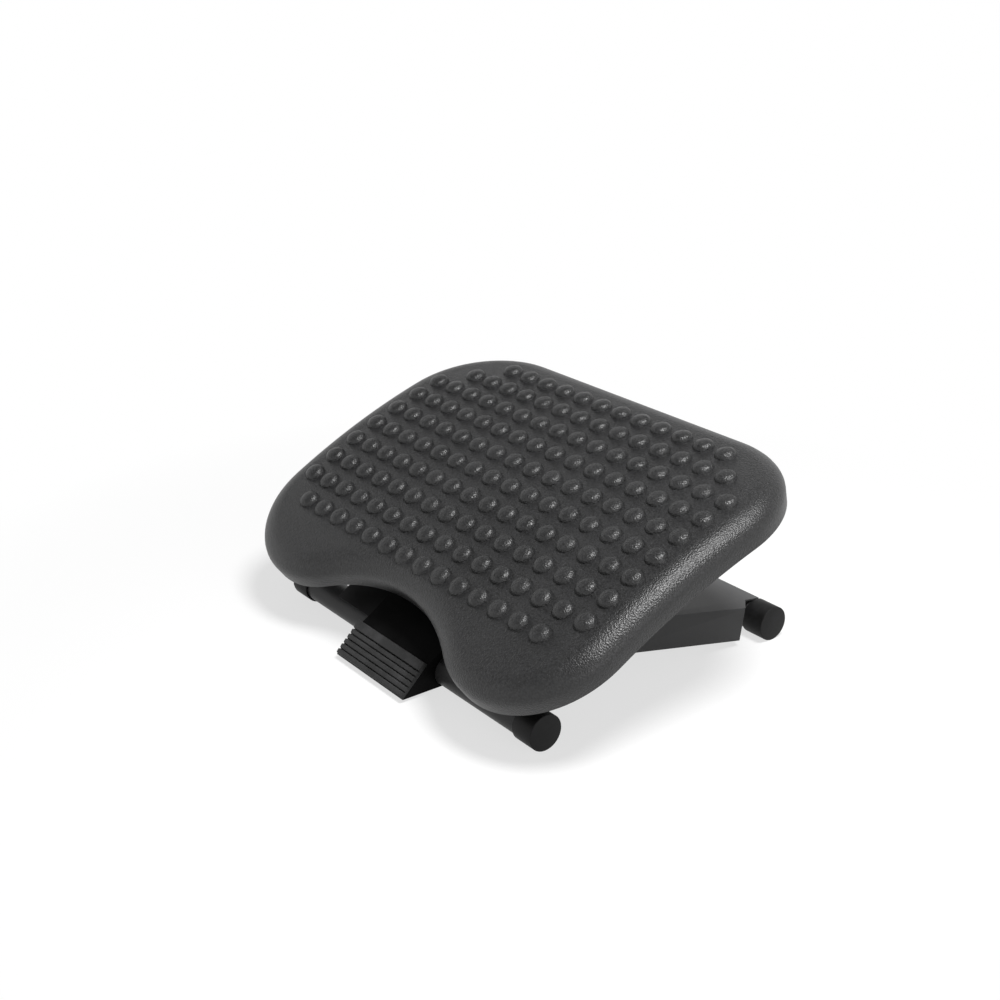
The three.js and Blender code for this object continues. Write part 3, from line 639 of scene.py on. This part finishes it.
def stud():
    look = studLook
    clearSelection()
    rings = [
        (share * look["radius"], high * look["height"])
        for share, high in zip(look["radiusShares"], look["heightShares"])
    ]
    radius, height = rings[0]
    bpy.ops.mesh.primitive_circle_add(
        vertices=look["sides"], radius=radius, fill_type="NGON", location=(0, 0, height)
    )
    dome = bpy.context.object
    bpy.ops.object.mode_set(mode="EDIT")
    bpy.ops.mesh.select_all(action="SELECT")
    for (radius, height), (nextRadius, nextHeight) in zip(rings, rings[1:]):
        bpy.ops.mesh.extrude_region_move(TRANSFORM_OT_translate={"value": (0, 0, nextHeight - height)})
        share = nextRadius / radius
        bpy.ops.transform.resize(value=(share, share, 1), center_override=(0, 0, nextHeight))
    bpy.ops.mesh.poke(offset=look["height"] - rings[-1][1])
    bpy.ops.object.mode_set(mode="OBJECT")
    activate(dome)
    bpy.ops.object.transform_apply(location=True, rotation=True, scale=True)
    bpy.ops.object.mode_set(mode="EDIT")
    bpy.ops.mesh.select_all(action="SELECT")
    bpy.ops.mesh.normals_make_consistent(inside=False)
    bpy.ops.object.mode_set(mode="OBJECT")
    return dome


def studPlaces():
    look = studLook
    rows = len(look["rowInsets"])
    for row, left in enumerate(look["rowInsets"]):
        for column in range(left, look["columns"] - left):
            x = (column - (look["columns"] - 1) / 2) * look["pitch"]
            y = (row - (rows - 1) / 2) * look["pitch"]
            yield x, y


def studs():
    model = stud()
    copies = []
    for x, y in studPlaces():
        copy = model.copy()
        copy.data = model.data.copy()
        bpy.context.scene.collection.objects.link(copy)
        place = bent(Vector((x, y, 0)))
        turn = Matrix.Rotation(-y / platformLook["archRadius"], 4, "X")
        copies.append(moved(copy, Matrix.Translation(place) @ turn))
    bpy.data.objects.remove(model)
    return copies


def ribBox(fromX, toX, fromY, toY):
    look = platformLook
    top = -look["wall"] * look["ribSink"]
    bottom = -look["wall"] - look["ribDepth"]
    clearSelection()
    bpy.ops.mesh.primitive_cube_add(size=1)
    rib = bpy.context.object
    moved(rib, Matrix.Translation((0.5, 0.5, 0.5)))
    moved(rib, Matrix.Diagonal((toX - fromX, toY - fromY, top - bottom, 1)))
    moved(rib, Matrix.Translation((fromX, fromY, bottom)))
    return rib


def ribs():
    look = platformLook
    half = look["ribWall"] / 2
    reach = look["heelReach"]
    inset = look["wall"] * look["ribSink"]
    core = ringBody(rimRings(inset), (-inset, -look["rimDepth"]))
    pitch = look["ribPitch"]
    made = [ribBox(-reach, reach, step * pitch - half, step * pitch + half) for step in range(-1, 2)]
    made += [ribBox(step * pitch - half, step * pitch + half, -reach, reach) for step in range(-2, 3)]
    for rib in made:
        applied(rib, "BOOLEAN", operation="INTERSECT", object=core, solver="EXACT")
        bands(rib)
    bpy.data.objects.remove(core)
    bossX, bossY = look["bossPlaces"]
    for x in (-bossX, bossX):
        for y in (-bossY, bossY):
            made.append(boss(x, y))
    seat = -look["wall"] - look["ribDepth"]
    seatX, seatY = look["seatReach"]
    for piece in made:
        bentPiece(piece)
        for vertex in piece.data.vertices:
            if abs(vertex.co.x) < seatX and abs(vertex.co.y) < seatY:
                vertex.co.z = max(vertex.co.z, seat)
    return made


def boss(x, y):
    look = platformLook
    clearSelection()
    depth = look["ribDepth"] + look["wall"] * (1 - look["ribSink"])
    bpy.ops.mesh.primitive_cylinder_add(vertices=look["bossSides"], radius=look["bossRadius"], depth=depth)
    made = bpy.context.object
    selectFaces(made, facesDown)
    bpy.ops.mesh.inset(thickness=look["bossWall"])
    bpy.ops.mesh.extrude_region_move(TRANSFORM_OT_translate={"value": (0, 0, depth * look["bossHole"])})
    bpy.ops.object.mode_set(mode="OBJECT")
    top = -look["wall"] * look["ribSink"]
    moved(made, Matrix.Translation((x, y, top - depth / 2)))
    return made


def platform():
    look = platformLook
    tiltJoint = next(joint for joint in frame["joints"] if joint["name"] == "platform_tilt")
    piece = joinedPieces(platformShell(), studs() + ribs())
    place = Matrix.Translation(tiltJoint["pos_m"]) @ Matrix.Rotation(math.radians(look["tilt"]), 4, "X")
    moved(piece, place @ Matrix.Translation((0, 0, look["pivotDepth"])))
    dressed(piece, "platformMoulding", "platform", 40, ("platform",))


platform()
print("stage: platform made")


# The feet: round tubes and rubber caps

footLook = {
    "sides": 96,
    "tubeRadius": 0.0136,
    "bore": 0.0122,
    "capRadius": 0.01534,
    "capBore": 0.01405,
    "capEnd": 0.003,
    "capEdge": (0.0012, 3, 40),
}


def footTube(node):
    look = footLook
    low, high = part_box(node)
    centre = (low + high) / 2
    clearSelection()
    bpy.ops.mesh.primitive_cylinder_add(
        vertices=look["sides"], radius=look["tubeRadius"], depth=high.x - low.x, end_fill_type="NOTHING"
    )
    tube = bpy.context.object
    moved(tube, Matrix.Translation(centre) @ Matrix.Rotation(math.pi / 2, 4, "Y"))
    applied(tube, "SOLIDIFY", thickness=look["tubeRadius"] - look["bore"], offset=-1.0)
    dressed(tube, node + "_round", node, 35, (node,))


def footCap(node):
    look = footLook
    low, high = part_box(node)
    centre = (low + high) / 2
    side = 1 if centre.x > 0 else -1
    length = high.x - low.x
    clearSelection()
    bpy.ops.mesh.primitive_cylinder_add(vertices=look["sides"], radius=look["capRadius"], depth=length)
    cap = bpy.context.object
    selectFaces(cap, facesDown)
    bpy.ops.mesh.inset(thickness=look["capRadius"] - look["capBore"])
    bpy.ops.mesh.extrude_region_move(TRANSFORM_OT_translate={"value": (0, 0, length - look["capEnd"])})
    bpy.ops.object.mode_set(mode="OBJECT")
    softened(cap, *look["capEdge"])
    turn = Matrix.Rotation(side * math.pi / 2, 4, "Y")
    moved(cap, Matrix.Translation((centre.x, centre.y, look["capRadius"])) @ turn)
    dressed(cap, node + "_round", node, 50, (node,))


for end in ("front", "rear"):
    footTube(end + "_foot_tube")
    for hand in ("left", "right"):
        footCap(f"{end}_cap_{hand}")
print("stage: feet made")


# The pedal's ribbed tread

treadLook = {
    "topEdge": (-0.0242, 0.0147),
    "angle": 44.0,
    "length": 0.0392,
    "lengthShare": 1.15,
    "thickness": 0.0047,
    "topBevel": 0.0006,
    "base": 0.0018,
    "ribs": 8,
    "firstRibShare": 1.55,
    "grooveAt": 0.7,
    "grooveHeight": 1.2,
    "ribRise": (0.22, 0.12),
    "ribFall": (0.86, 0.42),
    "edge": (0.00022, 2, 20),
}


def treadProfile(end):
    look = treadLook
    pitch = look["length"] * look["lengthShare"] / (look["ribs"] + 1)
    crest = look["thickness"]
    bevel = look["topBevel"]
    base = look["base"]
    points = [(0, 0), (0, crest - bevel), (bevel, crest)]
    points.append((look["firstRibShare"] * pitch, crest))
    for i in range(1, look["ribs"]):
        at = (i + look["grooveAt"]) * pitch
        points.append((at, base * look["grooveHeight"]))
        for onward, drop in (look["ribRise"], look["ribFall"]):
            points.append((at + onward * pitch, crest - base * drop))
    kept = [point for point in points if point[0] < end]
    kept.append((end, kept[-1][1]))
    kept.append((end, 0))
    return kept


def pedalTread():
    look = treadLook
    node = "pedal_tread"
    low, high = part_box(node)
    joint = next(joint for joint in frame["joints"] if joint["name"] == "pedal_rock")
    axis = Vector(joint["pos_m"])
    angle = math.radians(look["angle"])
    down = Vector((0, -math.cos(angle), -math.sin(angle)))
    into = Vector((0, math.sin(angle), -math.cos(angle)))
    start = axis + Vector((0, *look["topEdge"])) + into * look["thickness"]
    end = (start.z - low.z) / math.sin(angle)
    profile = []
    for along, out in treadProfile(end):
        point = start + down * along - into * out
        profile.append((point.y, max(point.z, low.z)))
    tread = prism(profile, low.x, high.x)
    softened(tread, *look["edge"])
    dressed(tread, "pedalTreadRibs", node, 25, (node,))


pedalTread()
print("stage: tread made")


# Round bars and the other metal parts

barSides = 48
barLook = {
    "lock_bar": {"radius": 0.00196, "tip": 0.0005},
    "height_axle": {"radius": 0.00395, "tip": 0.001},
}


def roundBar(node, radius, tip):
    low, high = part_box(node)
    centre = (low + high) / 2
    clearSelection()
    bpy.ops.mesh.primitive_cylinder_add(vertices=barSides, radius=radius, depth=high.x - low.x)
    bar = bpy.context.object
    moved(bar, Matrix.Translation(centre) @ Matrix.Rotation(math.pi / 2, 4, "Y"))
    softened(bar, tip, 3, 40)
    dressed(bar, node + "_round", node, 40, (node,))


for bar, look in barLook.items():
    roundBar(bar, look["radius"], look["tip"])


# A lock spring rides no body; its place is baked into its mesh


def hooked(spring):
    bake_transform(spring)


edgeWidths = {
    "front_arm": (0.00045, 3),
    "rear_leg": (0.00045, 3),
    "pedal": (0.0006, 3),
    "tilt_bracket": (0.0004, 2),
    "tilt_bolt": (0.0004, 2),
    "tilt_nut": (0.0004, 2),
}
thinEdge = (0.00018, 2)
turnedEdge = (0.0002, 2, 40, 50)
wireFinish = {"width": 0, "rounding": 1, "smoothAngle": 60}

for node, (width, segments) in edgeWidths.items():
    finishedCopy(node, width, segments)
for node in sorted(nodes):
    if node.startswith(("notch_plate", "height_nut", "height_washer")):
        finishedCopy(node, *thinEdge)
    if node.startswith(("plate_rivet", "bracket_screw", "height_bush", "tilt_bush")):
        finishedCopy(node, *turnedEdge)
    if node == "pedal_spring":
        finishedCopy(node, **wireFinish)
    if node.startswith("lock_spring"):
        hooked(finishedCopy(node, riding=False, **wireFinish))
print("stage: metal parts finished")


# The stage: a pale floor, soft lamps and the photograph's camera

cameraLook = {
    "place": (0.9600, -0.7614, 0.6203),
    "azimuth": 52.63,
    "elevation": 22.226,
    "lens": 55.8,
    "sensor": 36.0,
    "clip": (0.01, 100),
}


def camera():
    look = cameraLook
    data = bpy.data.cameras.new("photoCamera")
    data.sensor_width = look["sensor"]
    data.sensor_fit = "HORIZONTAL"
    data.lens = look["lens"]
    data.clip_start, data.clip_end = look["clip"]
    made = bpy.data.objects.new("photoCamera", data)
    bpy.context.scene.collection.objects.link(made)
    made.location = look["place"]
    made.rotation_euler = (math.radians(90 - look["elevation"]), 0, math.radians(look["azimuth"]))
    bpy.context.scene.camera = made


lampLook = {
    "key": {"place": (0.60, 0.03, 1.62), "size": 0.6, "power": 33.0},
    "side": {"place": (1.55, -0.10, 0.55), "size": 0.8, "power": 3.5},
}
lampAim = (0, 0, 0.1)


def lamps():
    for name, look in lampLook.items():
        data = bpy.data.lights.new(name, "AREA")
        data.shape = "DISK"
        data.size = look["size"]
        data.energy = look["power"]
        lamp = bpy.data.objects.new(name, data)
        bpy.context.scene.collection.objects.link(lamp)
        lamp.location = look["place"]
        lamp.rotation_euler = (Vector(lampAim) - lamp.location).to_track_quat("-Z", "Y").to_euler()


stageLook = {
    "floorSize": 60.0,
    "floorColour": (0.93, 0.93, 0.93),
    "floorRoughness": 0.9,
    "floorLift": 0.68,
    "shadowReach": (0.30, 0.60),
    "floorGlow": (0.16, 0.16, 0.16),
    "skyStrength": 0.20,
    "backdropRise": (0.42, 0.62),
}


def floor():
    look = stageLook
    clearSelection()
    bpy.ops.mesh.primitive_plane_add(size=look["floorSize"])
    made = bpy.context.object
    made.name = "floor"
    surface = Material("paleFloor")
    away = surface.node("ShaderNodeVectorMath", {"operation": "LENGTH"}, {0: surface.place()}, "Value")
    seen = surface.node("ShaderNodeLightPath", output="Is Camera Ray")
    mirrored = surface.node("ShaderNodeLightPath", output="Is Glossy Ray")
    through = surface.node("ShaderNodeLightPath", output="Is Transmission Ray")
    shown = seen + mirrored + through
    surface.finish(
        Base_Color=surface.mixed(shown, look["floorGlow"], look["floorColour"]),
        Roughness=look["floorRoughness"],
        Specular_IOR_Level=0.0,
    )
    low, high = look["shadowReach"]
    lift = look["floorLift"]
    far = (away.ramp(low, high) * (1 - lift) + lift) * shown
    white = surface.node("ShaderNodeEmission", values={"Color": (1, 1, 1, 1), "Strength": 1.0})
    plain = Socket(surface, surface.shader.outputs[0])
    blend = surface.node("ShaderNodeMixShader", values={0: far, 1: plain, 2: white})
    surface.link(blend, surface.tree.nodes["Material Output"].inputs["Surface"])
    made.data.materials.append(surface.material)


def sky():
    look = stageLook
    world = bpy.data.worlds.new("studio")
    bpy.context.scene.world = world
    world.use_nodes = True
    tree = world.node_tree

    def node(kind, inputs, **settings):
        made = tree.nodes.new(kind)
        for key, value in settings.items():
            setattr(made, key, value)
        for slot, value in inputs.items():
            if isinstance(value, bpy.types.NodeSocket):
                tree.links.new(value, made.inputs[slot])
            else:
                made.inputs[slot].default_value = value
        return made

    path = node("ShaderNodeLightPath", {})
    direction = node("ShaderNodeTexCoord", {}).outputs["Generated"]
    height = node("ShaderNodeSeparateXYZ", {0: direction}).outputs["Z"]
    low, high = look["backdropRise"]
    backdrop = node("ShaderNodeMapRange", {0: height, 1: low, 2: high, 3: 1.0, 4: 0.0}).outputs["Result"]
    direct = path.outputs["Is Camera Ray"]
    glossy = path.outputs["Is Glossy Ray"]
    through = path.outputs["Is Transmission Ray"]
    mirrored = node("ShaderNodeMath", {0: glossy, 1: through}, operation="ADD")
    reflected = node("ShaderNodeMath", {0: mirrored.outputs[0], 1: backdrop}, operation="MULTIPLY")
    seen = node("ShaderNodeMath", {0: direct, 1: reflected.outputs[0]}, operation="MAXIMUM")
    dim = node("ShaderNodeBackground", {"Color": (1, 1, 1, 1), "Strength": look["skyStrength"]})
    white = node("ShaderNodeBackground", {"Color": (1, 1, 1, 1), "Strength": 1.0})
    mix = node("ShaderNodeMixShader", {0: seen.outputs[0], 1: dim.outputs[0], 2: white.outputs[0]})
    tree.links.new(mix.outputs[0], tree.nodes["World Output"].inputs["Surface"])


camera()
lamps()
floor()
sky()
bpy.context.scene.view_settings.view_transform = "Standard"
print("stage: camera, lamps and floor made")

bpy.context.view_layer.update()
clearSelection()
